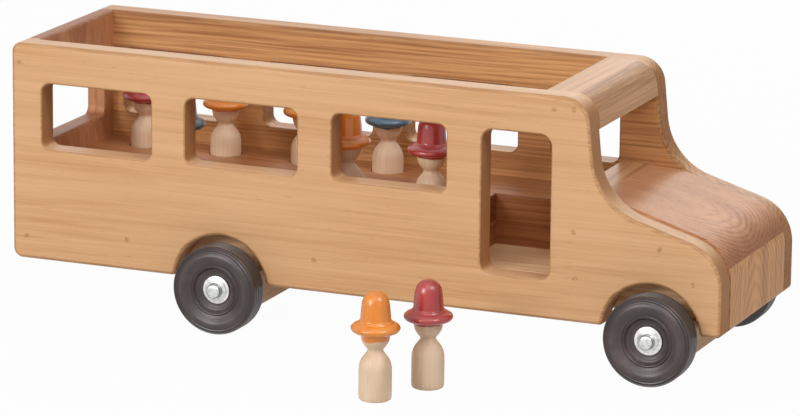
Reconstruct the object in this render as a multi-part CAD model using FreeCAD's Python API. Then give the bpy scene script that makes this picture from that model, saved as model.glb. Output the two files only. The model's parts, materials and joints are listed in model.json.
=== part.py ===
import FreeCAD, Part
import math
import os

from FreeCAD import Vector

# Wooden toy bus: two sawn side panels, boards nailed between them, four wheels on steel axles,
# and turned peg people that stand in sockets in the deck.  All lengths are in millimetres.
# X runs from the rear to the front, Y from the door side to the driver side, Z up.
# The origin lies on the ground, under the middle of the body.

# Body
body_length = 537.0
body_width = 153.0
panel_height = 157.5
panel_thickness = 19.0
wheel_diameter = 63.5
axle_below_panel = 2.75         # axle centre below the panels' bottom edge
edge_round = 3.0                # round-over along the glued shell's edges

# Side panel outline, as distances from the front edge and shares of the panel's height
tail_corner_radius = 7.0
roof_corner_from_front = 99.0
roof_corner_radius = 19.0
pillar_foot_from_front = 91.4
bonnet_start_share = 0.54
waist_radius = 45.0
nose_height_share = 0.3665
nose_radius = 32.0
chin_radius = 4.0
arch_radius = 35.2
arch_behind_axle = 3.6
arch_foot_radius = 3.2

# Openings in the panels
window_start = 24.0
window_post = 26.4              # wood left between two windows
window_count = 3
window_sill = 81.5
window_head = 28.0              # wood left above the windows and the door
window_corner = 6.5
window_round = 1.5              # round-over along the rims of windows and door
door_post = 26.2                # wood left between the last window and the door
door_from_front = 125.0
door_length = 51.0
door_corner = 8.0
rear_window_margin = 13.0

# Boards between the panels
rear_board = 15.0
floor_thickness = 19.0
floor_height = 8.5              # underside of the floor above the panels' bottom edge
deck_thickness = 19.0
deck_top = 64.0
deck_front_behind_door = 21.0
deck_edge_round = 1.5
bench_width = 52.0
bearer_thickness = 19.0
middle_bearer_from_rear = 160.0
header_length = 38.0
header_thickness = 24.0
dash_from_front = 102.0
dash_thickness = 24.0
dash_below_bonnet = 1.7
dash_round = 4.5
hood_bend_from_front = 76.0
hood_bend_below_bonnet = 3.3
hood_bend_radius = 60.0
hood_above_nose = 1.3           # hood's front above the side panels' nose
hood_nose_radius = 32.0
hood_thickness = 14.0
nose_thickness = 22.0

# Sockets and peg people
socket_columns = 5
first_socket_from_rear = 51.7
last_socket_behind_deck_front = 32.3
socket_from_panel = 20.6        # socket centre to the side panel's inner face
socket_depth = 12.7
socket_clearance = 0.3
socket_bevel = 0.8
peg_diameter = 22.5
peg_shoulder_height = 23.0
peg_arris = 1.75
shoulder_top_height = 31.0
shoulder_top_diameter = 14.9
neck_height = 35.0
neck_diameter = 10.8
chin_height = 37.6
chin_diameter = 15.7
head_height = 43.0
head_diameter = 19.8
brim_height = 50.0
brim_diameter = 33.6
brim_thickness = 5.6
crown_base_height = 55.5
crown_base_diameter = 21.0
crown_top_height = 66.0
crown_top_diameter = 18.8
figure_height = 75.2

# The two people who wait outside: distances from the rear edge and out from the door-side face
orange_outside_from_rear = 335.0
orange_outside_from_face = 121.4
red_outside_from_rear = 355.6
red_outside_from_face = 78.8

# Running gear
rear_axle_from_rear = 167.2
front_axle_from_front = 47.0
axle_diameter = 8.0
bore_clearance = 0.05
block_length = 46.0
block_height = 26.0
block_bevel = 1.0
wheel_width = 17.5
wheel_gap = 1.8                 # panel face to the wheel's inner face
running_gap = 0.3
inner_washer_diameter = 22.0
outer_washer_diameter = 20.0
outer_washer_thickness = 1.0
cap_flange_diameter = 15.5
cap_flange_thickness = 1.0
cap_dome_diameter = 10.6
cap_height = 6.6
cap_dome_height = 2.0
cap_end_wall = 1.2

# Wheel section
hub_floor_depth = 6.7
hub_floor_radius = 11.0
bowl_radius = 14.3
bowl_depth = 4.4
ridge_radius = 17.2
ridge_half_width = 0.8
ridge_rise = 0.7
sidewall_dip = 0.9
sidewall_radius = 22.4
sidewall_outer_radius = 27.3
rim_ring_radius = 29.8
tread_shoulder = 1.6
groove_count = 3
groove_width = 1.5
groove_depth = 1.1
tread_land = 2.4
inner_boss_radius = 13.0
inner_rim_radius = 27.0
inner_recess_depth = 3.0

# Places and sizes worked out from the ones above
wheel_radius = wheel_diameter / 2
axle_height = wheel_radius
panel_bottom = axle_height + axle_below_panel
half_width = body_width / 2
inner_half_width = half_width - panel_thickness
inner_width = inner_half_width * 2
floor_top = floor_height + floor_thickness
roof_corner_from_rear = body_length - roof_corner_from_front
pillar_foot_from_rear = body_length - pillar_foot_from_front
bonnet_start_height = panel_height * bonnet_start_share
nose_height = panel_height * nose_height_share
front_axle_from_rear = body_length - front_axle_from_front
window_height = panel_height - window_head - window_sill
window_top = window_sill + window_height
door_start = body_length - door_from_front - door_length
window_run = door_start - door_post - window_start - window_post * (window_count - 1)
window_length = window_run / window_count
window_pitch = window_length + window_post
rear_window_width = inner_width - rear_window_margin * 2
deck_front = door_start - deck_front_behind_door
deck_underside = deck_top - deck_thickness
socket_run = deck_front - last_socket_behind_deck_front - first_socket_from_rear
socket_pitch = socket_run / (socket_columns - 1)
socket_row_offset = inner_half_width - socket_from_panel
dash_front = body_length - dash_from_front
dash_rear = dash_front - dash_thickness
dash_height = bonnet_start_height - dash_below_bonnet
hood_bend_from_rear = body_length - hood_bend_from_front
hood_bend_height = bonnet_start_height - hood_bend_below_bonnet
hood_nose_height = nose_height + hood_above_nose
nose_rear = body_length - nose_thickness
header_from_rear = roof_corner_from_rear - header_length
header_underside = panel_height - header_thickness
socket_radius = peg_diameter / 2 + socket_clearance
bore_radius = axle_diameter / 2 + bore_clearance
inner_washer_thickness = wheel_gap - running_gap
hub_floor = wheel_width - hub_floor_depth
deck_bearer_height = deck_underside - floor_top
overrun = block_height          # how far a cutter reaches past the board that it cuts
probe = edge_round / 10         # how far from an edge the test for a convex edge looks
least_turn = 0.2                # in radians: faces that turn less than this meet smoothly

UP = Vector(0, 0, 1)
ACROSS = Vector(0, 1, 0)


def at(from_rear, height, y=0.0):
    """A point from its distance to the rear edge and its height above the panels' bottom edge."""
    return Vector(from_rear - body_length / 2, y, height + panel_bottom)


def tangent_arc(before, corner, after, radius):
    """The start, middle and end of the arc that rounds a corner."""
    back = (before - corner).normalize()
    ahead = (after - corner).normalize()
    half_angle = back.getAngle(ahead) / 2
    reach = radius / math.tan(half_angle)
    middle_way = (back + ahead).normalize()
    middle = corner + middle_way * (radius / math.sin(half_angle) - radius)
    return corner + back * reach, middle, corner + ahead * reach


def rounded_run(corners):
    """Edges along a run of (point, radius) corners; the two end points stay sharp."""
    edges = []
    start = corners[0][0]
    for (before, _), (corner, radius), (after, _) in zip(corners, corners[1:], corners[2:]):
        if radius > 0:
            first, middle, last = tangent_arc(before, corner, after, radius)
            edges.append(Part.makeLine(start, first))
            edges.append(Part.Arc(first, middle, last).toShape())
            start = last
        else:
            edges.append(Part.makeLine(start, corner))
            start = corner
    edges.append(Part.makeLine(start, corners[-1][0]))
    return edges


def rounded_rectangle(origin, along, up, length, height, radius):
    """A closed wire with one radius at its four corners."""
    a = origin
    b = origin + along * length
    c = b + up * height
    d = origin + up * height
    start = a + along * (length / 2)
    corners = [(start, 0.0), (b, radius), (c, radius), (d, radius), (a, radius), (start, 0.0)]
    return Part.Wire(rounded_run(corners))


def extruded(wire, direction):
    return Part.Face(wire).extrude(direction)


def board(from_rear, length, y0, width, bottom, height):
    """A plain board lying square in the bus."""
    return Part.makeBox(length, width, height, at(from_rear, bottom, y0))


def edges_on(shape, test):
    """Edges whose every point meets the test."""
    picked = []
    for edge in shape.Edges:
        points = edge.discretize(5)
        if all(test(p) for p in points):
            picked.append(edge)
    return picked


def close(a, b):
    return abs(a - b) < 1e-6


def sides(y):
    """Keeps edges that lie in the plane at this Y."""
    return lambda p: close(p.y, y)


# Side panels
def arch_run(axle_from_rear):
    """The wheel arch with its two rounded feet, from rear to front; also the feet's places."""
    centre = at(axle_from_rear - arch_behind_axle, -axle_below_panel)
    foot_reach = arch_radius + arch_foot_radius
    foot_rise = arch_foot_radius + axle_below_panel
    foot_offset = math.sqrt(foot_reach ** 2 - foot_rise ** 2)
    edges = []
    rear_foot = Vector(centre.x - foot_offset, 0, panel_bottom)
    front_foot = Vector(centre.x + foot_offset, 0, panel_bottom)
    touch = []
    for foot in (rear_foot, front_foot):
        foot_centre = foot + UP * arch_foot_radius
        inward = (centre - foot_centre).normalize()
        on_arch = foot_centre + inward * arch_foot_radius
        halfway = (inward - UP).normalize()
        edges.append(Part.Arc(foot, foot_centre + halfway * arch_foot_radius, on_arch).toShape())
        touch.append(on_arch)
    top = centre + UP * arch_radius
    edges.append(Part.Arc(touch[0], top, touch[1]).toShape())
    return edges, rear_foot, front_foot


def panel_outline():
    """The sawn outline: box-shaped saloon, swept pillar, sloping bonnet and round nose."""
    rear_edges, rear_foot, rear_front_foot = arch_run(rear_axle_from_rear)
    front_edges, front_rear_foot, front_foot = arch_run(front_axle_from_rear)
    corners = [
        (front_foot, 0.0),
        (at(body_length, 0), chin_radius),
        (at(body_length, nose_height), nose_radius),
        (at(pillar_foot_from_rear, bonnet_start_height), waist_radius),
        (at(roof_corner_from_rear, panel_height), roof_corner_radius),
        (at(0, panel_height), tail_corner_radius),
        (at(0, 0), tail_corner_radius),
        (rear_foot, 0.0),
    ]
    edges = rounded_run(corners) + rear_edges + front_edges
    edges.append(Part.makeLine(rear_front_foot, front_rear_foot))
    return Part.Wire(Part.__sortEdges__(edges))


def window_wire(start, sill, length, height, corner):
    return rounded_rectangle(at(start, sill), Vector(1, 0, 0), UP, length, height, corner)


def saloon_windows():
    starts = [window_start + window_pitch * i for i in range(window_count)]
    return [window_wire(s, window_sill, window_length, window_height, window_corner) for s in starts]


def runs_along(edge, wire):
    return all(Part.Vertex(p).distToShape(wire)[0] < 1e-6 for p in edge.discretize(5))


def opened(shape, wires, through):
    """Cuts openings through a board and rounds over their rims on both faces."""
    rims = list(wires)
    for wire in wires:
        shape = shape.cut(extruded(wire, through))
        far = wire.copy()
        far.translate(through)
        rims.append(far)
    edges = [edge for edge in shape.Edges if any(runs_along(edge, rim) for rim in rims)]
    return shape.makeFillet(window_round, edges)


def sawn_panel(outer_y, openings):
    """A side panel as sawn, with its lower Y face at outer_y; only its openings are rounded over."""
    shape = extruded(panel_outline(), ACROSS * panel_thickness)
    shape = opened(shape, openings, ACROSS * panel_thickness)
    shape.translate(ACROSS * outer_y)
    return shape


def inner_outline():
    """The side panels' outline carried across the room between them."""
    shape = extruded(panel_outline(), ACROSS * inner_width)
    shape.translate(ACROSS * -inner_half_width)
    return shape


def sawn_rear_panel():
    """The rear board, planed to the side panels' corners, with its window."""
    shape = inner_outline().common(board(0, rear_board, -inner_half_width, inner_width, 0, panel_height))
    corner = at(0, window_sill, -rear_window_width / 2)
    window = rounded_rectangle(corner, ACROSS, UP, rear_window_width, window_height, window_corner)
    return opened(shape, [window], Vector(rear_board, 0, 0))


def sawn_header():
    """The board over the windscreen, planed to the side panels' roof corner."""
    length = header_length + overrun
    shape = board(header_from_rear, length, -inner_half_width, inner_width, header_underside, header_thickness)
    return inner_outline().common(shape)


# The upper shell
def is_convex(shape, edge):
    """Whether wood fills less than half of the room around an edge, so that a cutter rounds it."""
    faces = [face for face in shape.Faces if any(edge.isSame(other) for other in face.Edges)]
    middle = edge.valueAt((edge.FirstParameter + edge.LastParameter) / 2)
    first, second = [face.normalAt(*face.Surface.parameter(middle)) for face in faces]
    if first.getAngle(second) < least_turn:
        return False
    return not shape.isInside(middle + (first - second) * probe, 1e-6, False)


def shell_boards():
    """The four boards of the upper shell, glued up, rounded over in one run and parted at the joints."""
    door = window_wire(door_start, floor_top, door_length, window_top - floor_top, door_corner)
    cab = window_wire(door_start, window_sill, door_length, window_height, window_corner)
    sawn = {
        "door_side_panel": sawn_panel(-half_width, saloon_windows() + [door]),
        "driver_side_panel": sawn_panel(inner_half_width, saloon_windows() + [cab]),
        "rear_panel": sawn_rear_panel(),
        "roof_header": sawn_header(),
    }
    blanks = list(sawn.values())
    glued = blanks[0].fuse(blanks[1:]).removeSplitter()
    top = at(0, panel_height).z
    rear_x = at(rear_board, 0).x
    header_x = at(header_from_rear, 0).x

    def on_rim(p):
        on_face = close(abs(p.y), half_width) or close(abs(p.y), inner_half_width)
        on_cross_board = close(p.z, top) and (close(p.x, rear_x) or close(p.x, header_x))
        return on_face or on_cross_board

    rims = [edge for edge in edges_on(glued, on_rim) if is_convex(glued, edge)]
    rounded = glued.makeFillet(edge_round, rims)
    return {name: rounded.common(blank) for name, blank in sawn.items()}


# Boards between the panels
def floor_board():
    length = nose_rear - rear_board
    return board(rear_board, length, -inner_half_width, inner_width, floor_height, floor_thickness)


def socket_mouths(side):
    """The centres of one row's sockets in the deck's top, from the rear to the front."""
    y = side * socket_row_offset
    return [at(first_socket_from_rear + socket_pitch * column, deck_top, y) for column in range(socket_columns)]


def passenger_deck():
    """The L-shaped deck: full width over the saloon, then a bench past the entrance well."""
    saloon = deck_front - rear_board
    bench = dash_rear - deck_front
    shape = board(rear_board, saloon, -inner_half_width, inner_width, deck_underside, deck_thickness)
    bench_y = inner_half_width - bench_width
    shape = shape.fuse(board(deck_front, bench, bench_y, bench_width, deck_underside, deck_thickness))
    shape = shape.removeSplitter()
    top = at(0, deck_top).z
    front_x = at(deck_front, 0).x

    def well_rim(p):
        beside = p.x >= front_x and close(p.y, bench_y)
        ahead = close(p.x, front_x) and p.y <= bench_y
        return close(p.z, top) and (beside or ahead)

    shape = shape.makeFillet(deck_edge_round, edges_on(shape, well_rim))
    for mouth in socket_mouths(-1) + socket_mouths(1):
        floor = mouth - UP * socket_depth
        shape = shape.cut(Part.makeCylinder(socket_radius, socket_depth, floor))
        bevel = mouth - UP * socket_bevel
        shape = shape.cut(Part.makeCone(socket_radius, socket_radius + socket_bevel, socket_bevel, bevel))
    return shape


def cross_bearer(from_rear):
    return board(from_rear, bearer_thickness, -inner_half_width, inner_width, floor_top, deck_bearer_height)


def entrance_riser():
    """Closes the front of the deck, facing the entrance well."""
    width = inner_width - bench_width
    start = deck_front - bearer_thickness
    return board(start, bearer_thickness, -inner_half_width, width, floor_top, deck_bearer_height)


def bench_riser():
    """Closes the inner side of the bench, from the deck's front to the dash."""
    start = deck_front - bearer_thickness
    y0 = inner_half_width - bench_width
    return board(start, dash_rear - start, y0, bearer_thickness, floor_top, deck_bearer_height)


def dash_board():
    height = dash_height - floor_top
    shape = board(dash_rear, dash_thickness, -inner_half_width, inner_width, floor_top, height)
    rear_x = at(dash_rear, 0).x
    top = at(0, dash_height).z
    return shape.makeFillet(dash_round, edges_on(shape, lambda p: close(p.x, rear_x) and close(p.z, top)))


def bonnet_slope():
    return (hood_bend_height - hood_nose_height) / (body_length - hood_bend_from_rear)


def front_block():
    """Everything ahead of the dash and between the panels, cut later into hood and nose."""
    start = at(dash_front, dash_height / 2)
    corners = [
        (start, 0.0),
        (at(dash_front, dash_height), 0.0),
        (at(hood_bend_from_rear, hood_bend_height), hood_bend_radius),
        (at(body_length, hood_nose_height), hood_nose_radius),
        (at(body_length, 0), chin_radius),
        (at(dash_front, 0), 0.0),
        (start, 0.0),
    ]
    shape = extruded(Part.Wire(rounded_run(corners)), ACROSS * inner_width)
    shape.translate(ACROSS * -inner_half_width)
    return shape


def below_hood():
    """The room under the hood's flat underside, which is parallel to the bonnet's slope."""
    slope = bonnet_slope()
    drop = hood_thickness * math.sqrt(1 + slope ** 2)
    rear = dash_front - overrun
    front = body_length + overrun
    rear_height = hood_bend_height - drop + slope * (hood_bend_from_rear - rear)
    front_height = hood_bend_height - drop + slope * (hood_bend_from_rear - front)
    points = [at(rear, -overrun), at(front, -overrun), at(front, front_height), at(rear, rear_height)]
    shape = extruded(Part.makePolygon(points + points[:1]), ACROSS * body_width)
    shape.translate(ACROSS * -half_width)
    return shape


def hood_board():
    return front_block().cut(below_hood())


def nose_board():
    keep = board(nose_rear, nose_thickness, -inner_half_width, inner_width, 0, panel_height)
    return front_block().common(below_hood()).common(keep)


# Running gear
def axle_centre(from_rear):
    return at(from_rear, -axle_below_panel)


def rod(radius, y0, y1, from_rear):
    """A cylinder across the bus, on an axle's line."""
    base = axle_centre(from_rear) + ACROSS * y0
    return Part.makeCylinder(radius, y1 - y0, base, ACROSS)


def axle_block(from_rear):
    """The square beam under the floor that holds an axle and ends flush with the panels."""
    bottom = floor_height - block_height
    start = from_rear - block_length / 2
    shape = board(start, block_length, -half_width, body_width, bottom, block_height)
    shape = shape.makeChamfer(block_bevel, shape.Edges)
    return shape.cut(rod(bore_radius, -half_width, half_width, from_rear))


def cap_tip():
    """How far a cap reaches outside the panel's face."""
    return wheel_gap + hub_floor + running_gap + outer_washer_thickness + cap_height


def axle(from_rear):
    end = half_width + cap_tip() - cap_end_wall
    return rod(axle_diameter / 2, -end, end, from_rear)


def turned(run, side, from_rear, offset):
    """Revolves an (offset outward, radius) section about an axle's line, on one side of the bus."""
    shape = extruded_ring(run)
    if side < 0:
        shape = shape.mirror(Vector(0, 0, 0), ACROSS)
    shape.translate(axle_centre(from_rear) + ACROSS * (side * (half_width + offset)))
    return shape


def extruded_ring(edges):
    """A closed section in the plane of Y and Z, turned a full circle about the Y axis."""
    return Part.Face(Part.Wire(Part.__sortEdges__(edges))).revolve(Vector(0, 0, 0), ACROSS, 360)


def wr(w, r):
    """A section point: w outward along the axle, r from the axle's line."""
    return Vector(0, w, r)


def lines(points):
    return [Part.makeLine(a, b) for a, b in zip(points, points[1:])]


def wheel_section():
    """Tread with grooves, ringed rim, full sidewall, ridge, bowl and hub, as on a rubber tyre."""
    r = wheel_radius
    w = wheel_width
    s = tread_shoulder
    tread = [wr(s, r)]
    grooves = groove_count * groove_width + (groove_count - 1) * tread_land
    edge = (w - grooves) / 2
    for _ in range(groove_count):
        tread += [wr(edge, r), wr(edge, r - groove_depth)]
        tread += [wr(edge + groove_width, r - groove_depth), wr(edge + groove_width, r)]
        edge += groove_width + tread_land
    tread.append(wr(w - s, r))
    rim = w - sidewall_dip
    ridge_in = ridge_radius - ridge_half_width
    ridge_out = ridge_radius + ridge_half_width
    edges = lines(tread)
    edges += lines([wr(w - s, r), wr(rim, rim_ring_radius), wr(rim - ridge_rise, rim_ring_radius - ridge_rise)])
    start = wr(rim - ridge_rise, rim_ring_radius - ridge_rise)
    edges.append(Part.makeLine(start, wr(rim - ridge_rise, sidewall_outer_radius)))
    start = wr(rim - ridge_rise, sidewall_outer_radius)
    edges.append(Part.Arc(start, wr(w, sidewall_radius), wr(rim, ridge_out)).toShape())
    edges.append(Part.Arc(wr(rim, ridge_out), wr(rim + ridge_rise, ridge_radius), wr(rim, ridge_in)).toShape())
    bowl = wr(w - bowl_depth, bowl_radius)
    edges.append(Part.Arc(wr(rim, ridge_in), bowl, wr(hub_floor, hub_floor_radius)).toShape())
    inside = [wr(hub_floor, hub_floor_radius), wr(hub_floor, bore_radius), wr(0, bore_radius)]
    inside += [wr(0, inner_boss_radius), wr(inner_recess_depth, inner_boss_radius)]
    inside += [wr(inner_recess_depth, inner_rim_radius), wr(0, inner_rim_radius), wr(0, r - s), wr(s, r)]
    return edges + lines(inside)


def wheel(side, from_rear):
    return turned(wheel_section(), side, from_rear, wheel_gap)


def washer(side, from_rear, offset, diameter, thickness):
    rim = diameter / 2
    points = [wr(0, bore_radius), wr(thickness, bore_radius), wr(thickness, rim), wr(0, rim)]
    return turned(lines(points + points[:1]), side, from_rear, offset)


def axle_cap(side, from_rear):
    """A pressed cap: flange, straight wall and a domed end over the axle's tip."""
    wall = cap_dome_diameter / 2
    flange = cap_flange_diameter / 2
    shoulder = cap_height - cap_dome_height
    flat = wall - cap_dome_height
    middle = math.sqrt(0.5)
    inner_end = cap_height - cap_end_wall
    section = lines([
        wr(0, bore_radius), wr(0, flange), wr(cap_flange_thickness, flange),
        wr(cap_flange_thickness, wall), wr(shoulder, wall),
    ])
    bulge = wr(shoulder + cap_dome_height * middle, flat + cap_dome_height * middle)
    section.append(Part.Arc(wr(shoulder, wall), bulge, wr(cap_height, flat)).toShape())
    section += lines([wr(cap_height, flat), wr(cap_height, 0), wr(inner_end, 0)])
    section += lines([wr(inner_end, 0), wr(inner_end, bore_radius), wr(0, bore_radius)])
    offset = wheel_gap + hub_floor + running_gap + outer_washer_thickness
    return turned(section, side, from_rear, offset)


# Peg people
def rz(radius, height):
    return Vector(radius, 0, height)


def figure_shape():
    """One turned figure: peg, shoulders, neck, head, hat brim and domed crown."""
    peg = peg_diameter / 2
    top = shoulder_top_diameter / 2
    neck = neck_diameter / 2
    chin = chin_diameter / 2
    head = head_diameter / 2
    brim = brim_diameter / 2
    lip = brim_thickness / 2
    crown = crown_base_diameter / 2
    crown_top = crown_top_diameter / 2
    under = brim_height - lip
    over = brim_height + lip
    arris = peg_arris * (1 - math.sqrt(0.5))
    hollow = (neck_height - shoulder_top_height) / 2
    flare = crown_base_height - over
    bend = flare * (1 - math.sqrt(0.5))
    dome_height = figure_height - crown_top_height
    dome_radius = (crown_top ** 2 + dome_height ** 2) / (2 * dome_height)
    dome_centre = figure_height - dome_radius
    half_angle = math.asin(min(1, crown_top / dome_radius)) / 2
    edges = [Part.makeLine(rz(0, 0), rz(peg - peg_arris, 0))]
    edges.append(Part.Arc(rz(peg - peg_arris, 0), rz(peg - arris, arris), rz(peg, peg_arris)).toShape())
    edges.append(Part.makeLine(rz(peg, peg_arris), rz(peg, peg_shoulder_height)))
    slope = (peg - top) / (shoulder_top_height - peg_shoulder_height)
    crest = rz(peg - (peg - top) * slope / 2, (peg_shoulder_height + shoulder_top_height) / 2)
    edges.append(Part.Arc(rz(peg, peg_shoulder_height), crest, rz(top, shoulder_top_height)).toShape())
    waist = rz((top + neck) / 2 - hollow / 4, shoulder_top_height + hollow)
    edges.append(Part.Arc(rz(top, shoulder_top_height), waist, rz(neck, neck_height)).toShape())
    edges.append(Part.Arc(rz(neck, neck_height), rz(chin, chin_height), rz(head, head_height)).toShape())
    edges += lines([rz(head, head_height), rz(head, under), rz(brim - lip, under)])
    edges.append(Part.Arc(rz(brim - lip, under), rz(brim, brim_height), rz(brim - lip, over)).toShape())
    edges.append(Part.makeLine(rz(brim - lip, over), rz(crown + flare, over)))
    sweep = rz(crown + bend, over + bend)
    edges.append(Part.Arc(rz(crown + flare, over), sweep, rz(crown, crown_base_height)).toShape())
    edges.append(Part.makeLine(rz(crown, crown_base_height), rz(crown_top, crown_top_height)))
    bulge = rz(dome_radius * math.sin(half_angle), dome_centre + dome_radius * math.cos(half_angle))
    edges.append(Part.Arc(rz(crown_top, crown_top_height), bulge, rz(0, figure_height)).toShape())
    edges.append(Part.makeLine(rz(0, figure_height), rz(0, 0)))
    return Part.Face(Part.Wire(edges)).revolve(Vector(0, 0, 0), UP, 360)


# Who stands in each row of sockets, from the rear to the front, with the hat's colour in the name
far_row = [
    "red_figure_rear_far",
    "orange_figure_second_far",
    "orange_figure_third_far",
    "blue_figure_fourth_far",
    None,
]
near_row = [
    None,
    "blue_figure_second_near",
    None,
    "orange_figure_fourth_near",
    "red_figure_front_near",
]
# The two people who wait outside
waiting = {
    "orange_figure_outside": (orange_outside_from_rear, orange_outside_from_face),
    "red_figure_outside": (red_outside_from_rear, red_outside_from_face),
}


def build():
    parts = shell_boards()
    parts.update({
        "floor_board": floor_board(),
        "passenger_deck": passenger_deck(),
        "rear_deck_bearer": cross_bearer(rear_board),
        "middle_deck_bearer": cross_bearer(middle_bearer_from_rear),
        "entrance_riser": entrance_riser(),
        "bench_riser": bench_riser(),
        "dash_board": dash_board(),
        "hood_board": hood_board(),
        "nose_board": nose_board(),
    })
    outer_offset = wheel_gap + hub_floor + running_gap
    for end, from_rear in (("rear", rear_axle_from_rear), ("front", front_axle_from_rear)):
        parts[end + "_axle_block"] = axle_block(from_rear)
        parts[end + "_axle"] = axle(from_rear)
        for name, side in (("door_side", -1), ("driver_side", 1)):
            place = end + "_" + name
            parts[place + "_wheel"] = wheel(side, from_rear)
            parts[place + "_inner_washer"] = washer(
                side, from_rear, 0, inner_washer_diameter, inner_washer_thickness)
            parts[place + "_outer_washer"] = washer(
                side, from_rear, outer_offset, outer_washer_diameter, outer_washer_thickness)
            parts[place + "_axle_cap"] = axle_cap(side, from_rear)
    figure = figure_shape()
    standing = list(zip(far_row, socket_mouths(1))) + list(zip(near_row, socket_mouths(-1)))
    for name, mouth in standing:
        if name is not None:
            person = figure.copy()
            person.translate(mouth - UP * socket_depth)
            parts[name] = person
    for name, (from_rear, from_face) in waiting.items():
        person = figure.copy()
        person.translate(Vector(from_rear - body_length / 2, -half_width - from_face, 0))
        parts[name] = person
    return parts


os.makedirs("parts", exist_ok=True)
for name, shape in build().items():
    if not shape.isValid() or len(shape.Solids) != 1:
        raise ValueError(name + " isn't one valid solid")
    shape.exportStep("parts/" + name + ".step")
    box = shape.BoundBox
    print(f"{name:30s} {shape.Volume / 1000:9.2f} cm3  "
          f"X {box.XMin:7.1f} {box.XMax:7.1f}  Y {box.YMin:7.1f} {box.YMax:7.1f}  Z {box.ZMin:6.1f} {box.ZMax:6.1f}")
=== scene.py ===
# %% [markdown]
# # A wooden toy bus and its peg people
#
# The real bus is built from pine boards.  Two side panels are sawn out with their windows, doorway and wheel
# arches, the other boards are nailed between them, and the whole body is rounded over, sanded and wiped with a
# honey stain.  The wheels turn on steel axles under pressed caps, and turned people stand in sockets in the deck.
#
# The measured solids come ready packed, as a fixed frame.  The boards and the axles keep those solids and get a
# finish.  The lathe work, which is wheels, washers, caps and people, is turned again here with finer edges, and each
# new piece rides on the body that it belongs to.

# %% Load the frame
import json
import math

import bmesh
import bpy
from mathutils import Matrix, Vector

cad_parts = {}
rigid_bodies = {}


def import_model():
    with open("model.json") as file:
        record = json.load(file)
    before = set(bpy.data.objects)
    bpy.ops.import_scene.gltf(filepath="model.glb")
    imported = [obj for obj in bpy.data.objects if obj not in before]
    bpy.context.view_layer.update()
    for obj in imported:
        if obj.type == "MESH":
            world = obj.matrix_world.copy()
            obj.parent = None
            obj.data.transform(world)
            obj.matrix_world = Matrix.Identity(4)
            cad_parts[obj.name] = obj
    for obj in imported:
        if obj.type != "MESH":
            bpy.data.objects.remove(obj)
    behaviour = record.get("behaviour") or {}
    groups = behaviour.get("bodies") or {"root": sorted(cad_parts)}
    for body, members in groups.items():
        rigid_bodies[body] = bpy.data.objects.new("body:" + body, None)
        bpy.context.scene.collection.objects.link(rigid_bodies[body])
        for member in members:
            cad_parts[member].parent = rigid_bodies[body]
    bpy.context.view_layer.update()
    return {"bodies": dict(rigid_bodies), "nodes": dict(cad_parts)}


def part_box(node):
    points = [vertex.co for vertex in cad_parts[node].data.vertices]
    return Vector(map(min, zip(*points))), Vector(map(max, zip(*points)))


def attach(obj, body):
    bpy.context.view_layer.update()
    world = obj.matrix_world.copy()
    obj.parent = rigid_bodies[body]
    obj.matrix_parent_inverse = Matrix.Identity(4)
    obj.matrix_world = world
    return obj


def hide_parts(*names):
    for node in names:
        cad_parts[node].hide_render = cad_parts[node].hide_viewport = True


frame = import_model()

MM = 0.001
print("boards, wheels and people in the frame:", len(frame["nodes"]))

# %% [markdown]
# ## The camera
#
# A long lens stands well back, a little above the roof, in front of the doorway side.  A long lens keeps the
# boards' edges nearly parallel, as in a catalogue picture.  The three directions below are the picture's right,
# its up and the line of sight, so the matrix can be written down without any turning by angles.

# %% Place the camera
sight_right = Vector((0.92126, 0.38882, 0.00952))
sight_up = Vector((-0.10142, 0.21654, 0.97099))
sight_ahead = Vector((-0.37548, 0.89550, -0.23892))
camera_place = Vector((1.3013, -3.1026, 0.9093))

lens = bpy.data.cameras.new("long_lens")
lens.lens = 219.85
lens.sensor_width = 36.0
lens.clip_end = 60.0
camera = bpy.data.objects.new("camera", lens)
bpy.context.scene.collection.objects.link(camera)
turn = Matrix((sight_right, sight_up, -sight_ahead)).transposed()
camera.matrix_world = Matrix.LocRotScale(camera_place, turn.to_quaternion(), None)
bpy.context.scene.camera = camera
bpy.context.scene.view_settings.view_transform = "Standard"
print("camera stands at", [round(v, 3) for v in camera.location])

# %% [markdown]
# ## Writing shader maths as plain expressions
#
# A finish is a small sum: so much fibre, so much ring, darker on end grain.  Clicking those sums together from
# nodes hides them, so a `Strand` stands for one value on its way through the finish.  Adding or multiplying
# strands adds the Math nodes.  The reflected forms, such as `__rsub__`, let a plain number stand first, as in
# `1 - mask`.  Only the signs and sums that this toy needs are written.

# %% The Strand
class Strand:
    """One socket of a finish.  Sums with it become Math nodes."""

    def __init__(self, finish, socket):
        self.finish = finish
        self.socket = socket

    def other(self, name):
        """Another output of the same node."""
        return Strand(self.finish, self.socket.node.outputs[name])

    def maths(self, operation, *others):
        """A Math node of any operation, with this strand as its first value."""
        return self.finish.node("Math", {"operation": operation}, dict(enumerate((self, *others))))

    def __add__(self, value):
        return self.maths("ADD", value)

    __radd__ = __add__

    def __mul__(self, value):
        return self.maths("MULTIPLY", value)

    __rmul__ = __mul__

    def __sub__(self, value):
        return self.maths("SUBTRACT", value)

    def __rsub__(self, value):
        return self.finish.node("Math", {"operation": "SUBTRACT"}, {0: value, 1: self})

    def __truediv__(self, value):
        return self.maths("DIVIDE", value)

    def larger(self, value):
        """This value or the other, whichever is more."""
        return self.maths("MAXIMUM", value)

    def part_of_one(self):
        """What is left after the whole number: 0 up to 1, again and again."""
        return self.maths("FRACT")

    def size(self):
        """The value without its sign."""
        return self.maths("ABSOLUTE")

    def root(self):
        """The square root."""
        return self.maths("SQRT")

    def step(self, low, high):
        """0 below low, 1 above high, and a smooth slope between them."""
        return self.finish.node("MapRange", {"interpolation_type": "SMOOTHSTEP"}, {0: self, 1: low, 2: high})


print("signs that work on a strand: + - * /")

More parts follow.
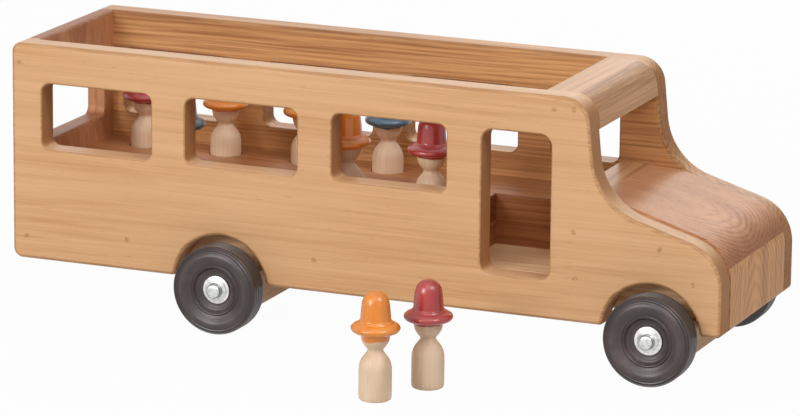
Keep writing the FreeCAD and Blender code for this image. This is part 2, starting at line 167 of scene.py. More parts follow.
# %% [markdown]
# Every other node comes from one method, `Finish.node`, which sets the node's own settings first and its sockets
# after them, because a setting can change which sockets a node has.  A finish can belong to a material or to the
# world, since both hold a tree of nodes with one surface at its end.

# %% The Finish
class Finish:
    """One surface and the nodes that feed it.  Its owner is a material or the world."""

    def __init__(self, owner, surface="Principled BSDF"):
        owner.use_nodes = True
        self.owner = owner
        self.tree = owner.node_tree
        self.surface = self.tree.nodes[surface]

    def node(self, kind, settings=None, sockets=None, output=0):
        """A new node of a kind, with its settings and its sockets' values or links."""
        made = self.tree.nodes.new("ShaderNode" + kind)
        for name, value in (settings or {}).items():
            setattr(made, name, value)
        for name, value in (sockets or {}).items():
            self.feed(made.inputs[name], value)
        return Strand(self, made.outputs[output])

    def feed(self, socket, value):
        """Links a strand to a socket, or sets the socket to a plain value."""
        if isinstance(value, Strand):
            self.tree.links.new(value.socket, socket)
        else:
            socket.default_value = value

    def blend(self, share, first, second):
        """First colour at share 0, second at share 1."""
        return self.node("Mix", {"data_type": "RGBA"}, {0: share, 6: first, 7: second}, 2)

    def noise(self, place, stretch, shift=(0, 0, 0), detail=2.0, roughness=0.5):
        """Soft noise from 0 to 1.  Stretch is how many lumps fit in a millimetre, along each axis."""
        there = self.node("VectorMath", {"operation": "MULTIPLY_ADD"}, {0: place, 1: stretch, 2: shift})
        return self.node("TexNoise", {}, {"Vector": there, "Scale": 1.0, "Detail": detail, "Roughness": roughness})

    def dress(self, **sockets):
        """Feeds the surface.  Underscores in a name stand for spaces."""
        for name, value in sockets.items():
            self.feed(self.surface.inputs[name.replace("_", " ")], value)
        return self.owner


print("a node of kind TexNoise is made as ShaderNodeTexNoise")

# %% [markdown]
# ## A white sweep
#
# The toy stands on white paper that runs up out of sight.  A sweep could be a curved sheet, but then other views
# would see its edge.  Here the floor is flat, and both it and the world show plain white to the camera and to
# reflections, through the Light Path node, so satin wood and metal mirror a white studio.  The floor keeps a
# little of its real shading, so the toy still casts a shadow.

# %% Lay the paper
def seen_directly(finish):
    """1 for camera, glossy and transmission rays."""
    rays = finish.node("LightPath")
    direct = rays.other("Is Camera Ray") + rays.other("Is Glossy Ray") + rays.other("Is Transmission Ray")
    return direct.maths("MINIMUM", 1.0)


PAPER_WHITE = 0.97  # how much of the floor is plain white to the camera; the rest is its real shading

paper = Finish(bpy.data.materials.new("white_paper"))
paper.dress(Base_Color=(0.62, 0.62, 0.62, 1.0), Roughness=0.9)
white = paper.node("Emission", {}, {"Color": (1.0, 1.0, 1.0, 1.0), "Strength": 1.0})
plain = Strand(paper, paper.surface.outputs[0])
sweep = paper.node("MixShader", {}, {0: seen_directly(paper) * PAPER_WHITE, 1: plain, 2: white})
paper.feed(paper.tree.nodes["Material Output"].inputs["Surface"], sweep)

sheet = bmesh.new()
bmesh.ops.create_grid(sheet, x_segments=2, y_segments=2, size=9.0)
floor_mesh = bpy.data.meshes.new("paper_floor")
sheet.to_mesh(floor_mesh)
sheet.free()
floor_mesh.materials.append(paper.owner)
floor = bpy.data.objects.new("paper_floor", floor_mesh)
bpy.context.scene.collection.objects.link(floor)
floor.location.z = -0.1 * MM  # a hair below the tyres, so that they never share a plane with the paper
print("paper of", len(floor_mesh.polygons), "squares laid under the tyres")

# %% [markdown]
# The room itself is the world.  It looks fully white, but it gives only a sixth of that as light, so the lamps
# still model the wood.

# %% Whiten the room
ROOM_LIGHT = 0.16  # how much the white room itself lights the toy

world = bpy.data.worlds.new("white_studio")
bpy.context.scene.world = world
room = Finish(world, "Background")
room.dress(Color=(1.0, 1.0, 1.0, 1.0), Strength=seen_directly(room) * (1 - ROOM_LIGHT) + ROOM_LIGHT)
print("room light:", ROOM_LIGHT)

# %% [markdown]
# ## The lamps
#
# Two soft boxes, left and right of the camera, give the pair of round highlights on each hat.  A wide boom light
# and a top light send light down into the open body, onto the deck.  Behind the bus, a weak rim lamp glints on the
# edges and a strong fill lights the back boards.  A lamp that strong would lie on the polished tops as a white
# patch, so reflections leave the fill out.

# %% Hang the lamps
def soft_box(name, compass, height, distance, width, watts, mirrored=True):
    """A square lamp aimed at the middle of the bus.

    Compass is degrees round from the doorway side and height is degrees up.  Distance and width are in metres.
    """
    lamp = bpy.data.lights.new(name, "AREA")
    lamp.shape = "SQUARE"
    lamp.size = width
    lamp.energy = watts
    stand = bpy.data.objects.new(name, lamp)
    bpy.context.scene.collection.objects.link(stand)
    round_by, up_by = math.radians(compass), math.radians(height)
    level = math.cos(up_by)
    away = Vector((math.sin(round_by) * level, -math.cos(round_by) * level, math.sin(up_by)))
    bus_middle = Vector((0.0, 0.0, 80.0)) * MM
    stand.location = bus_middle + away * distance
    stand.rotation_euler = (-away).to_track_quat("-Z", "Y").to_euler()
    stand.visible_glossy = mirrored


soft_box("left_soft_box", -22, 22, 2.3, 0.8, 22)
soft_box("right_soft_box", 64, 44, 2.3, 0.8, 16)
soft_box("boom_light", 14, 50, 2.3, 1.5, 11)
soft_box("top_light", 10, 80, 2.4, 1.6, 4)
soft_box("back_rim", 186, 14, 2.6, 1.0, 3)
soft_box("back_fill", 195, 28, 2.6, 1.4, 26, mirrored=False)

# %% [markdown]
# ## Stains
#
# A stain is picked on a screen, as red, green and blue from 0 to 255.  Those numbers aren't amounts of
# light: a shader works in linear light, where half as bright is half the number.  `tint` turns one into the other.
# Each stain has a pale and a deep shade, and the pine's pattern moves between them.

# %% Mix the stains
def tint(red, green, blue):
    """A colour picked on a screen, 0 to 255, as the linear colour that a shader works in."""
    channels = []
    for value in (red, green, blue):
        share = value / 255
        channels.append(share / 12.92 if share < 0.04045 else ((share + 0.055) / 1.055) ** 2.4)
    return (*channels, 1.0)


honey_pale, honey_deep = tint(220, 174, 124), tint(196, 144, 94)
# The amber stain for the boards inside the body is darker than their wood partly as painted shade, for the dimmer
# light inside.
amber_shade_pale, amber_shade_deep = tint(184, 124, 80), tint(140, 86, 50)
rose_pale, rose_deep = tint(208, 150, 108), tint(166, 106, 70)
print("pale honey stain in linear light:", [round(v, 3) for v in honey_pale])

# %% [markdown]
# ## Pine
#
# A board is cut from a trunk, and its figure comes from where in the trunk it lay.  Growth rings are cylinders
# round the pith.  Where a board's face cuts them flat they spread into arches, and where it cuts them steeply they
# close up into stripes.  So the pattern is solid: the Mapping node lays the trunk along one axis and puts the pith
# beside the board, and the distance from the pith gives the rings.  The same sum then draws faces, edges and end
# grain that agree with each other, which a flat picture of wood can't do.
#
# Over the rings come long fibres, a few resin flecks, patches where the stain took more, and darker end grain,
# because open pores drink stain.  A broken darker line runs where the rims are rounded over.  Polish settles on
# level faces and runs off upright ones, so the coat follows how far a face looks up.  Fibres and rings lift the
# surface a little, through Bump.

# %% The pine recipe
TRUNK_TURNS = {"length": (0.0, 0.0, 0.0), "width": (0.0, 0.0, -math.pi / 2), "height": (0.0, math.pi / 2, 0.0)}
TRUNK_AXES = {"length": "X", "width": "Y", "height": "Z"}


def pine(board, runs, pith, seed, pale, deep, ring=6.0, contrast=0.35, wander=9.0, taper=0.03,
         lean=(0.0, 0.0, 0.0), fibre=0.16, flecks=0.6, ends=0.58, figure=None, gloss=0.55, face="Y"):
    """Stained pine for one board.

    Runs says which way the trunk lay, pith is its centre line in mm, and lean tilts it by degrees.  Ring is a year's
    growth in mm, wander is how far the rings stray, and taper is how fast the trunk narrows.  Figure is where along
    the trunk the rings come up, in mm.  Contrast, fibre and flecks say how strongly each of them shows, ends is how
    dark the end grain goes, and gloss is the coat on level faces.  Face is the axis whose faces count as flat: a
    broken darker line runs where the surface turns away from it.
    """
    wood = Finish(bpy.data.materials.new(board + "_pine"))
    here = wood.node("TexCoord", output="Object")
    turned = [a + math.radians(b) for a, b in zip(TRUNK_TURNS[runs], lean)]
    trunk = wood.node("Mapping", {"vector_type": "POINT"},
                      {"Vector": here, "Location": pith, "Rotation": turned, "Scale": (1 / MM,) * 3})
    along = wood.node("SeparateXYZ", {}, {0: trunk})
    across, up = along.other("Y"), along.other("Z")
    shift = (seed * 7.3, seed * 3.1, seed * 5.7)

    # Rings: the distance from the pith, made to wander, and counted off in years that end in a dark line
    drift = wood.noise(trunk, (0.004, 0.022, 0.022), shift, 2.0)
    ripple = wood.noise(trunk, (0.02, 0.16, 0.16), shift, 1.0)
    from_pith = (across * across + up * up).root() + along * taper
    rings = (from_pith + (drift - 0.5) * (2 * wander) + (ripple - 0.5) * 1.6) / ring
    growth = rings.part_of_one()
    late = growth.step(0.30, 0.93) * (1 - growth.step(0.93, 1.0)) * contrast
    if figure:
        late = late * (along.step(*figure) * 0.85 + 0.15)

    # Fibres and flecks lie along the trunk, so their noise is stretched that way
    fibres = wood.noise(trunk, (0.012, 0.85, 0.85), shift, 4.0, 0.62)
    hairs = wood.noise(trunk, (0.035, 3.4, 3.4), shift, 2.0, 0.6)
    patches = wood.noise(trunk, (0.006, 0.05, 0.05), shift, 2.0)
    fleck = wood.noise(trunk, (0.09, 1.3, 1.3), shift, 1.0).step(0.68, 0.80) * flecks
    bands = wood.noise(trunk, (0.003, 0.30, 0.30), shift[::-1], 2.0, 0.55)

    # End grain and crushed fibres drink the stain, and a broken darker line runs along the rounded rims
    facing = wood.node("TexCoord", output="Normal")
    way = wood.node("SeparateXYZ", {}, {0: facing})
    end_grain = way.other(TRUNK_AXES[runs]).size().step(0.55, 0.95)
    flat = way.other(face).size()
    # a broken darker line where the surface turns from the flat face onto the rim
    rounded = flat.step(0.12, 0.45) * (1 - flat.step(0.955, 0.997))
    rubbed = wood.noise(trunk, (0.02, 0.5, 0.5), shift[::-1], 3.0, 0.6).step(0.30, 0.62)
    ragged = wood.noise(here, (0.8 / MM,) * 3, shift, 3.0, 0.7)
    crushed = wood.node("Attribute", {"attribute_name": "crushed"}, output="Fac") * ragged.step(0.36, 0.56)

    # The colour moves from pale to deep by the sum of them all, and to brown on end grain, flecks, crushed fibres and
    # the rim line
    depth = late + (fibres - 0.5) * (fibre * 4) + (hairs - 0.5) * 0.30 + (patches - 0.5) * 0.7
    depth = depth + (bands - 0.5) * (fibre * 4)
    stain = wood.blend((depth + 0.34).step(0.0, 1.0), pale, deep)
    darkened = fleck.larger(end_grain * ends).larger(rounded * (rubbed * 0.42 + 0.10)).larger(crushed)
    brown = (*(c * k for c, k in zip(deep, (0.50, 0.36, 0.22))), 1.0)
    colour = wood.blend(darkened, stain, brown)

    # The surface: a coat on level faces, and hairs that stand up a little
    polish = way.other("Z").step(0.60, 0.98) * gloss
    height = late * -0.6 + hairs * 0.30 + fibres * 0.4 - crushed * 0.4
    skin = wood.node("Bump", {}, {"Strength": 0.16, "Distance": 0.0004, "Height": height})
    sheen = 0.44 + (fibres - 0.5) * 0.25 + end_grain * 0.16
    return wood.dress(Base_Color=colour, Roughness=sheen, Normal=skin, Specular_IOR_Level=0.24,
                      Coat_Weight=polish, Coat_Roughness=0.36)


print("ways that a trunk can lie in a board:", list(TRUNK_TURNS))

# %% [markdown]
# ## Giving each board its own cut
#
# No two boards of the real bus match, so each gets its own place in the trunk.  The side panels, deck, floor and
# hood run lengthways.  The roof header, the dash and the axle blocks lie across, as short boards do, and the nose
# stands upright, which is why it shows steep pointed arches.

# %% Finish the boards
boards = {
    # The doorway panel's end grain goes darker than on the other boards: partly stain, partly painted shade in its
    # window and door jambs.
    "door_side_panel": dict(
        runs="length", pith=(0.0, 128.0, -104.0), seed=1, pale=tint(225, 178, 132), deep=tint(200, 148, 100),
        ring=7.5, contrast=0.12, fibre=0.19, flecks=0.5, ends=0.72),
    "driver_side_panel": dict(
        runs="length", pith=(0.0, -20.0, -240.0), seed=2, pale=tint(218, 164, 108), deep=tint(164, 110, 68),
        ring=3.2, contrast=0.26, fibre=0.34, taper=0.02, wander=5.0),
    "rear_panel": dict(
        runs="height", pith=(0.0, -18.0, 222.0), seed=3, pale=rose_pale, deep=rose_deep, ring=9.0, contrast=0.30,
        face="X", lean=(0.0, 7.0, 9.0)),
    # The floor board is a pale board, and its stain is made paler still as painted light, for the light that falls on
    # it through the doorway.
    "floor_board": dict(
        runs="length", pith=(0.0, 14.0, -10.0), seed=4, pale=tint(255, 224, 180), deep=tint(232, 184, 136),
        fibre=0.34, flecks=1.0, face="Z"),
    "passenger_deck": dict(
        runs="length", pith=(0.0, -12.0, -132.0), seed=5, pale=amber_shade_pale, deep=amber_shade_deep, ring=5.0, face="Z"),
    "rear_deck_bearer": dict(
        runs="width", pith=(0.0, 250.0, -40.0), seed=6, pale=amber_shade_pale, deep=amber_shade_deep, face="Z"),
    "middle_deck_bearer": dict(
        runs="width", pith=(0.0, 90.0, -42.0), seed=7, pale=amber_shade_pale, deep=amber_shade_deep, face="Z"),
    "entrance_riser": dict(
        runs="width", pith=(0.0, -40.0, -52.0), seed=8, pale=amber_shade_pale, deep=amber_shade_deep, face="X"),
    "bench_riser": dict(
        runs="length", pith=(0.0, -40.0, -52.0), seed=9, pale=amber_shade_pale, deep=amber_shade_deep),
    "roof_header": dict(
        runs="width", pith=(0.0, 210.0, -60.0), seed=10, pale=tint(216, 166, 118), deep=tint(170, 116, 70),
        ring=3.4, contrast=0.14, wander=3.0, taper=0.01, face="Z"),
    "dash_board": dict(
        runs="width", pith=(0.0, 130.0, -60.0), seed=11, pale=honey_pale, deep=tint(170, 110, 66),
        ring=5.0, wander=6.0, face="Z"),
    "hood_board": dict(
        runs="length", pith=(0.0, 4.0, -156.0), seed=12, pale=tint(218, 162, 120), deep=rose_deep,
        ring=3.2, contrast=0.30, taper=0.004, wander=2.0, figure=(216.0, 252.0), gloss=0.35),
    "nose_board": dict(
        runs="height", pith=(0.0, 8.0, 296.0), seed=13, pale=tint(222, 160, 98), deep=tint(150, 92, 50),
        ring=5.0, contrast=0.22, taper=0.40, wander=10.0, fibre=0.22),
    "rear_axle_block": dict(
        runs="width", pith=(0.0, 96.0, -36.0), seed=14, pale=honey_pale, deep=honey_deep, face="Z"),
    "front_axle_block": dict(
        runs="width", pith=(0.0, -230.0, -34.0), seed=15, pale=honey_pale, deep=honey_deep, face="Z"),
}
for board, cut in boards.items():
    node = frame["nodes"][board]
    node.material_slots[0].material = pine(board, **cut)
print("boards finished in pine:", len(boards))

# %% [markdown]
# ## Turning on the lathe
#
# Wheels, washers, caps and people are all round, so one helper does the turning.  It lays down the section as a few
# points joined by edges, spins it a full circle, merges the doubles that a pole collects, and turns the faces
# outwards.  Sharp corners that a real tool would ease are picked by their number in the section and rounded with a
# bevel, because a perfectly sharp edge never catches the light.
#
# A spin of few steps leaves flats.  The print says how deep they are on the largest piece, a wheel.

# %% The lathe
TOUCHING = 0.002 * MM   # points that are nearer than this are one point
ON_CORNER = 0.01 * MM   # how near an edge's ends lie to the corner that is picked
FINE_STEPS = 96


def lathe(name, section, steps, eased=(), ease=0.0):
    """Spins a section of (radius, height) points in mm round Z.  Eased lists the corners that are rounded by ease."""
    mesh = bmesh.new()
    corners = [mesh.verts.new((radius * MM, 0.0, height * MM)) for radius, height in section]
    run = [mesh.edges.new(pair) for pair in zip(corners, corners[1:])]
    if section[0][0] > 0:  # the section starts off the axis, so it closes to a ring
        run.append(mesh.edges.new((corners[-1], corners[0])))
    bmesh.ops.spin(mesh, geom=corners + run, cent=(0, 0, 0), axis=(0, 0, 1), angle=math.tau, steps=steps,
                   use_merge=True)
    bmesh.ops.remove_doubles(mesh, verts=mesh.verts, dist=TOUCHING)
    bmesh.ops.recalc_face_normals(mesh, faces=mesh.faces)
    rings = []
    for radius, height in [section[i] for i in eased]:
        for edge in mesh.edges:
            places = [(vert.co.xy.length - radius * MM, vert.co.z - height * MM) for vert in edge.verts]
            if all(abs(miss) < ON_CORNER for place in places for miss in place):
                rings.append(edge)
    if rings:
        bmesh.ops.bevel(mesh, geom=rings, offset=ease * MM, offset_type="OFFSET", segments=2, profile=0.5,
                        affect="EDGES", clamp_overlap=True, material=-1)
    for face in mesh.faces:
        face.smooth = True
    made = bpy.data.meshes.new(name)
    mesh.to_mesh(made)
    mesh.free()
    return made


wheel_low, wheel_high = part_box("rear_door_side_wheel")
wheel_radius = (wheel_high.z - wheel_low.z) / 2
print("flats on a wheel in mm:", round(wheel_radius * (1 - math.cos(math.pi / FINE_STEPS)) / MM, 3))

# %% [markdown]
# A turned mesh stands at the origin until it is placed.  The place goes into the mesh itself and the object stays
# unturned, so that a pattern on Object coordinates lies the same in every view.  Edges that turn sharply are marked,
# the piece is tied to the body that it moves with, and it takes over from the plain solid of the same name.

# %% Placing a piece
def place_piece(name, mesh, matrix, body, material, slot, *nodes, crease=40):
    """Moves a mesh to its place, gives it its finish and lets it ride on a body, in place of the nodes named."""
    piece_mesh = mesh.copy()
    piece_mesh.name = name
    piece_mesh.transform(matrix)
    piece_mesh.materials.append(material)
    piece_mesh.set_sharp_from_angle(angle=math.radians(crease))
    piece = bpy.data.objects.new(name, piece_mesh)
    bpy.context.scene.collection.objects.link(piece)
    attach(piece, body)
    if nodes:
        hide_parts(*nodes)
    return piece


# %% [markdown]
# ## Wheels
#
# The wheels are moulded tyres, dark brown to black with a satin skin.  From the outside in, the section has a tread
# with four fine grooves, a stepped rim, a full rounded sidewall, one raised ring and a bowl that holds the washer.
# The section is drawn once, outward along the axle, and turned as one piece for all four wheels.

# %% Turn the tyre
tyre_section = [
    (4.05, 0.0), (13.0, 0.0), (13.4, 2.8), (26.4, 2.8), (27.0, 0.0), (30.3, 0.0), (31.3, 0.4), (31.75, 1.4),
    (31.75, 3.0), (31.3, 3.2), (30.5, 3.3), (30.5, 4.1), (31.3, 4.2), (31.75, 4.4),
    (31.75, 5.9), (31.3, 6.1), (30.5, 6.2), (30.5, 7.0), (31.3, 7.1), (31.75, 7.3),
    (31.75, 8.8), (31.3, 9.0), (30.5, 9.1), (30.5, 9.9), (31.3, 10.0), (31.75, 10.2),
    (31.75, 11.7), (31.3, 11.9), (30.5, 12.0), (30.5, 12.8), (31.3, 12.9), (31.7, 13.1),
    (31.7, 14.6), (31.4, 15.5), (31.0, 15.9), (30.6, 15.8), (30.2, 15.4), (29.8, 15.4), (29.4, 15.8), (29.0, 16.2),
    (28.6, 16.1), (28.2, 15.8), (27.8, 15.9), (27.2, 16.5), (26.4, 17.1), (25.4, 17.45), (24.3, 17.5), (23.1, 17.2),
    (21.8, 16.5), (20.4, 15.5), (19.2, 14.8), (18.3, 14.6), (17.8, 15.0), (17.3, 15.5), (16.8, 15.4), (16.3, 14.7),
    (15.7, 13.4), (14.9, 12.4), (14.1, 12.0), (13.6, 11.8), (13.2, 11.2), (12.2, 10.9), (10.9, 10.8), (4.05, 10.8),
]
tyre = lathe("tyre", tyre_section, FINE_STEPS)
print("tyre faces:", len(tyre.polygons))

# %% [markdown]
# The tyre's skin isn't one black.  It is a warm dark brown that goes lighter in rubbed patches, and the mould has
# left fine circles.  Circles need the distance from the axle, so each wheel's Mapping node moves the pattern's
# centre to its own axle.

# %% Finish the tyre
dark_rubber, worn_rubber = tint(50, 37, 34), tint(92, 75, 73)


def tyre_skin(name, centre, seed):
    """Worn rubber round an axle's centre."""
    rubber = Finish(bpy.data.materials.new(name))
    here = rubber.node("TexCoord", output="Object")
    hub = rubber.node("Mapping", {"vector_type": "POINT"},
                      {"Vector": here, "Location": tuple(-c / MM for c in centre), "Scale": (1 / MM,) * 3})
    place = rubber.node("SeparateXYZ", {}, {0: hub})
    height = place.other("Z")
    radius = (place * place + height * height).root()
    smudge = rubber.noise(hub, (0.05, 0.05, 0.05), (seed, 0, seed), 3.0)
    grit = rubber.noise(hub, (0.9, 0.9, 0.9), (0, seed, 0), 3.0, 0.6)
    circles = (radius * 8.5).maths("SINE")
    worn = smudge.step(0.42, 0.75) * 0.6 + grit.step(0.55, 0.85) * 0.25
    colour = rubber.blend(worn, dark_rubber, worn_rubber)
    skin = rubber.node("Bump", {}, {"Strength": 0.18, "Distance": 0.0003, "Height": circles * 0.4 + grit * 0.8})
    return rubber.dress(Base_Color=colour, Roughness=0.30 + smudge * 0.16, Normal=skin, Specular_IOR_Level=0.7)


print("worn rubber is", round(worn_rubber[0] / dark_rubber[0], 1), "times as light as dark rubber")

# %% [markdown]
# ## Washers, caps and axle ends
#
# A bright washer lies in each bowl, and a pressed cap is driven over the axle's end.  The cap is a thimble with a
# domed crown, a straight wall and a thin flange.  Pressed and punched metal has soft corners, so the cap's section
# holds every curve itself, and a bevel eases the washers' rims.

# %% Turn the metal
cap_section = [
    (0.0, 5.4), (4.05, 5.4), (4.05, 0.0), (7.4, 0.0), (7.75, 0.35), (7.75, 0.75), (7.4, 1.0), (5.75, 1.05),
    (5.35, 1.4), (5.25, 2.0), (5.25, 4.5), (5.05, 5.3), (4.6, 5.95), (3.9, 6.35), (2.6, 6.55), (1.2, 6.6), (0.0, 6.6),
]
cap = lathe("cap", cap_section, 48)
outer_washer_section = [(4.05, 0.0), (10.0, 0.0), (10.0, 1.0), (4.05, 1.0)]
outer_washer = lathe("outer_washer", outer_washer_section, 64, eased=(1, 2), ease=0.22)
inner_washer_section = [(4.05, 0.0), (11.0, 0.0), (11.0, 1.5), (4.05, 1.5)]
inner_washer = lathe("inner_washer", inner_washer_section, 64, eased=(1, 2), ease=0.25)
print("cap faces:", len(cap.polygons), " washer faces:", len(outer_washer.polygons))

# %% [markdown]
# The metal is plated with zinc.  Plating is bright but no mirror: it lies in cloudy crystals, and handling leaves
# fine scratches.  So the colour moves between a bright and a dull grey, and the scratches vary the roughness too.

# %% Plate the metal
def zinc(name, bright, dull, seed, gloss):
    """Plated steel: cloudy crystals of zinc and fine scratches from handling."""
    metal = Finish(bpy.data.materials.new(name))
    here = metal.node("TexCoord", output="Object")
    place = metal.node("Mapping", {"vector_type": "POINT"}, {"Vector": here, "Scale": (1 / MM,) * 3})
    cloud = metal.noise(place, (0.35, 0.35, 0.35), (seed, seed, 0), 3.0)
    scratch = metal.noise(place, (0.4, 6.0, 6.0), (0, seed, 0), 2.0, 0.7)
    colour = metal.blend(cloud.step(0.3, 0.75), bright, dull)
    skin = metal.node("Bump", {}, {"Strength": 0.10, "Distance": 0.0002, "Height": scratch})
    return metal.dress(Base_Color=colour, Metallic=0.92, Roughness=gloss + scratch * 0.16, Normal=skin)


washer_finish = zinc("washer_plating", tint(236, 232, 230), tint(206, 200, 198), 3, 0.30)
cap_finish = zinc("cap_plating", tint(226, 228, 226), tint(186, 188, 187), 8, 0.20)
axle_finish = zinc("axle_plating", tint(190, 190, 192), tint(150, 150, 154), 5, 0.28)
for end in ("rear", "front"):
    frame["nodes"][end + "_axle"].material_slots[0].material = axle_finish
print("plated:", [finish.name for finish in (washer_finish, cap_finish, axle_finish)])

# %% [markdown]
# Each station on an axle is the same stack: inner washer, tyre, outer washer, cap.  The stack is turned along Z, so
# one matrix lays it on the axle.  On the doorway side it points the other way, and a half turn does that
# without turning the faces inside out, as a mirror would.

# %% Fit the wheels
for end in ("rear", "front"):
    for side, outward in (("door_side", -1), ("driver_side", 1)):
        station = f"{end}_{side}"
        low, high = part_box(station + "_wheel")
        axle_centre = (low + high) / 2
        laid_down = Matrix.Rotation(math.radians(90 * -outward), 4, "X")
        skin = tyre_skin(station + "_skin", axle_centre, 3.0 * len(station) + outward)
        stack = [
            ("wheel", tyre, station + "_wheel", skin, "wheel_rubber"),
            ("inner_washer", inner_washer, "bus", washer_finish, "washer_zinc"),
            ("outer_washer", outer_washer, "bus", washer_finish, "washer_zinc"),
            ("axle_cap", cap, "bus", cap_finish, "cap_zinc"),
        ]
        for part, mesh, body, finish, slot in stack:
            node = f"{station}_{part}"
            low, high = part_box(node)
            inner_end = Vector((axle_centre.x, high.y if outward < 0 else low.y, axle_centre.z))
            place_piece(node + "_turned", mesh, Matrix.Translation(inner_end) @ laid_down, body, finish, slot, node)
        print(station, "stands on its axle at X", round(axle_centre.x / MM, 1))

# %% [markdown]
# ## Peg people
#
# Each person is one turning: a round-bottomed peg, sloping shoulders, a thin neck, a bowl of a head and a hat.
# The section is a loose cage of points, and Subdivision Surface draws the flowing curve through it, as the
# turner's gouge does.  Two points close together keep a crease, such as the step where the crown meets the brim.

# %% Turn the person
person_section = [
    (0.0, 0.0), (6.0, 0.0), (9.3, 0.05), (10.9, 0.75), (11.35, 2.2), (11.35, 8.0), (11.35, 18.0), (11.3, 22.6),
    (10.75, 26.0), (9.3, 29.2), (7.2, 31.8), (5.75, 33.5), (5.3, 34.9), (5.75, 36.1), (7.3, 37.7), (9.0, 40.2),
    (9.95, 43.2), (10.2, 46.3), (11.0, 47.0), (13.0, 46.9), (15.2, 47.3), (16.7, 48.6), (17.1, 50.1), (16.5, 51.6),
    (14.9, 52.8), (13.1, 53.5), (12.3, 53.7), (11.95, 54.3), (11.6, 54.9), (10.9, 55.1), (10.55, 55.9), (10.35, 59.0),
    (10.0, 63.0), (9.7, 66.0), (9.1, 69.3), (7.4, 72.8), (4.4, 75.0), (1.6, 75.4), (0.0, 75.4),
]
person = lathe("person", person_section, 32)
print("person cage faces:", len(person.polygons))

# %% [markdown]
# The peg stays bare maple and the hat is dipped in gloss paint.  The dip line is never level, so the line's height
# gets a slow wave.  The paint is smooth and glossy while the bare wood is matt and faintly furred, so one mask
# drives colour, roughness, coat and bump alike.

# %% Finish the people
def dipped_maple(name, foot, paint, shade, seed, line, wave):
    """Bare maple below the dip line and glossy paint above it.  Line and wave are heights over the foot in mm."""
    turned = Finish(bpy.data.materials.new(name))
    here = turned.node("TexCoord", output="Object")
    body = turned.node("Mapping", {"vector_type": "POINT"},
                       {"Vector": here, "Location": tuple(-c / MM for c in foot), "Scale": (1 / MM,) * 3})
    place = turned.node("SeparateXYZ", {}, {0: body})
    height = place.other("Z")
    slow = turned.noise(body, (0.11, 0.11, 0.02), (seed, 0, seed), 1.0)
    painted = (height + (slow - 0.5) * (wave * 4)).step(line - 0.35, line + 0.35)

    grain = turned.noise(body, (0.55, 0.22, 0.018), (seed * 3, seed, 0), 3.0, 0.6)
    hair = turned.noise(body, (2.6, 2.6, 0.05), (0, seed, seed), 2.0)
    cloud = turned.noise(body, (0.09, 0.09, 0.03), (seed, seed, 0), 1.0)
    rings = ((place * 0.9 + place.other("Y") * 0.5) / 3.0 + grain * 1.4).part_of_one()
    bare = turned.blend((grain * 0.45 + hair * 0.12 + cloud * 0.5 + rings.step(0.5, 1.0) * 0.06).step(0.15, 1.1),
                        tint(240, 213, 184), tint(208, 170, 134))
    coat = turned.blend((cloud * 0.7 + grain * 0.4).step(0.3, 0.85), paint, shade)
    colour = turned.blend(painted, bare, coat)
    raised = hair * (1 - painted) + grain * 0.2
    skin = turned.node("Bump", {}, {"Strength": 0.15, "Distance": 0.0002, "Height": raised})
    return turned.dress(Base_Color=colour, Roughness=0.52 - painted * 0.22, Normal=skin,
                        Coat_Weight=painted * 0.5 + 0.1, Coat_Roughness=0.24)


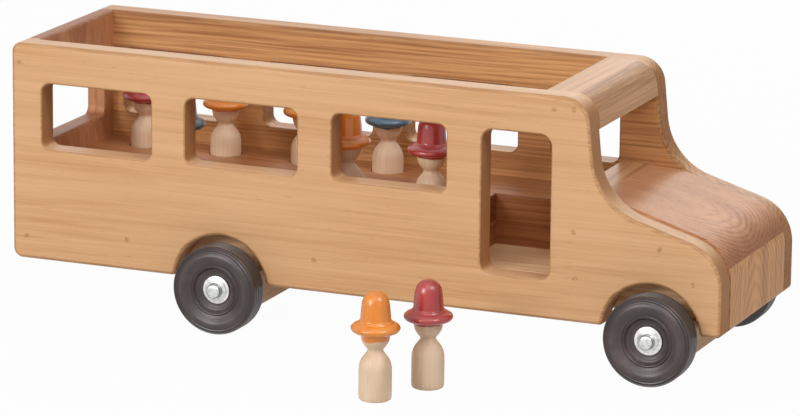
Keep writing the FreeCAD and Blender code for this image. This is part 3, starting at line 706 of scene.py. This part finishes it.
dips = {
    "orange": (tint(238, 146, 34), tint(220, 116, 16)),
    "red": (tint(182, 58, 52), tint(156, 38, 38)),
    "blue": (tint(80, 110, 132), tint(56, 84, 106)),
}
people = [name for name in frame["bodies"] if "_figure_" in name]
for number, name in enumerate(people):
    low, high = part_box(name)
    foot = Vector(((low.x + high.x) / 2, (low.y + high.y) / 2, low.z))
    hue = name.split("_")[0]
    paint, shade = dips[hue]
    # One person was dipped deeper than the others
    line, wave = (41.6, 1.0) if name == "orange_figure_outside" else (45.2, 0.7)
    finish = dipped_maple(name + "_dip", foot, paint, shade, 2.7 * number + 1.0, line, wave)
    spot = Matrix.Translation(foot) @ Matrix.Rotation(0.7 * number, 4, "Z")
    piece = place_piece(name + "_turned", person, spot, name, finish, hue + "_figure", name, crease=180)
    smooth = piece.modifiers.new("flowing_curve", "SUBSURF")
    smooth.levels = smooth.render_levels = 2
print("people:", people)

# %% [markdown]
# ## Nail marks
#
# The boards are nailed through the side panels, and each nail is punched under and filled.  What is left is a small,
# broken ring of crushed, darker fibres.  Each mark is a thin oval disc, inset ring by ring, that lies a hair proud of
# the face and wears the panel's own pine, so its grain runs on.  A number on its points, called crushed, tells the
# finish where the fibres are broken.

# %% Fill the nails
nail_places = [
    (6.3, 143.5), (11.2, 16.8), (90.8, 22.2), (236.0, 23.2), (413.7, 148.0), (428.2, 149.4),
    (429.1, 63.6), (431.0, 31.5), (491.9, 58.2), (516.5, 36.0),
]
mark_radius, mark_oval = 2.1 * MM, 0.75
ring_width, ring_rise = 0.38 * MM, 0.02 * MM
ring_crush = (0.0, 0.6, 1.0, 0.5)  # how broken the fibres are, from the rim inwards

for side, panel, outward in (("door_side", "door_side_panel", -1), ("driver_side", "driver_side_panel", 1)):
    low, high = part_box(panel)
    face_y = low.y if outward < 0 else high.y
    facing = Matrix.Rotation(math.radians(90 * -outward), 4, "X")
    marks = bmesh.new()
    crushed = marks.verts.layers.float.new("crushed")
    for number, (from_rear, height) in enumerate(nail_places):
        spot = Matrix.Translation((low.x + from_rear * MM, face_y, low.z + height * MM)) @ facing
        spot = spot @ Matrix.Rotation(number * 0.9, 4, "Z") @ Matrix.Diagonal((1.0, mark_oval, 1.0, 1.0))
        ring = bmesh.ops.create_circle(marks, cap_ends=True, radius=mark_radius, segments=20, matrix=spot)
        disc = list({face for vert in ring["verts"] for face in vert.link_faces})
        for share in ring_crush:
            for vert in disc[0].verts:
                vert[crushed] = share
            bmesh.ops.inset_region(marks, faces=disc, thickness=ring_width, depth=ring_rise)
    for face in marks.faces:
        face.smooth = True
    mark_mesh = bpy.data.meshes.new(side + "_nails")
    marks.to_mesh(mark_mesh)
    marks.free()
    finish = frame["nodes"][panel].material_slots[0].material
    place_piece(side + "_nail_marks", mark_mesh, Matrix.Identity(4), "bus", finish, panel + "_pine")
print("nail marks on each side:", len(nail_places))
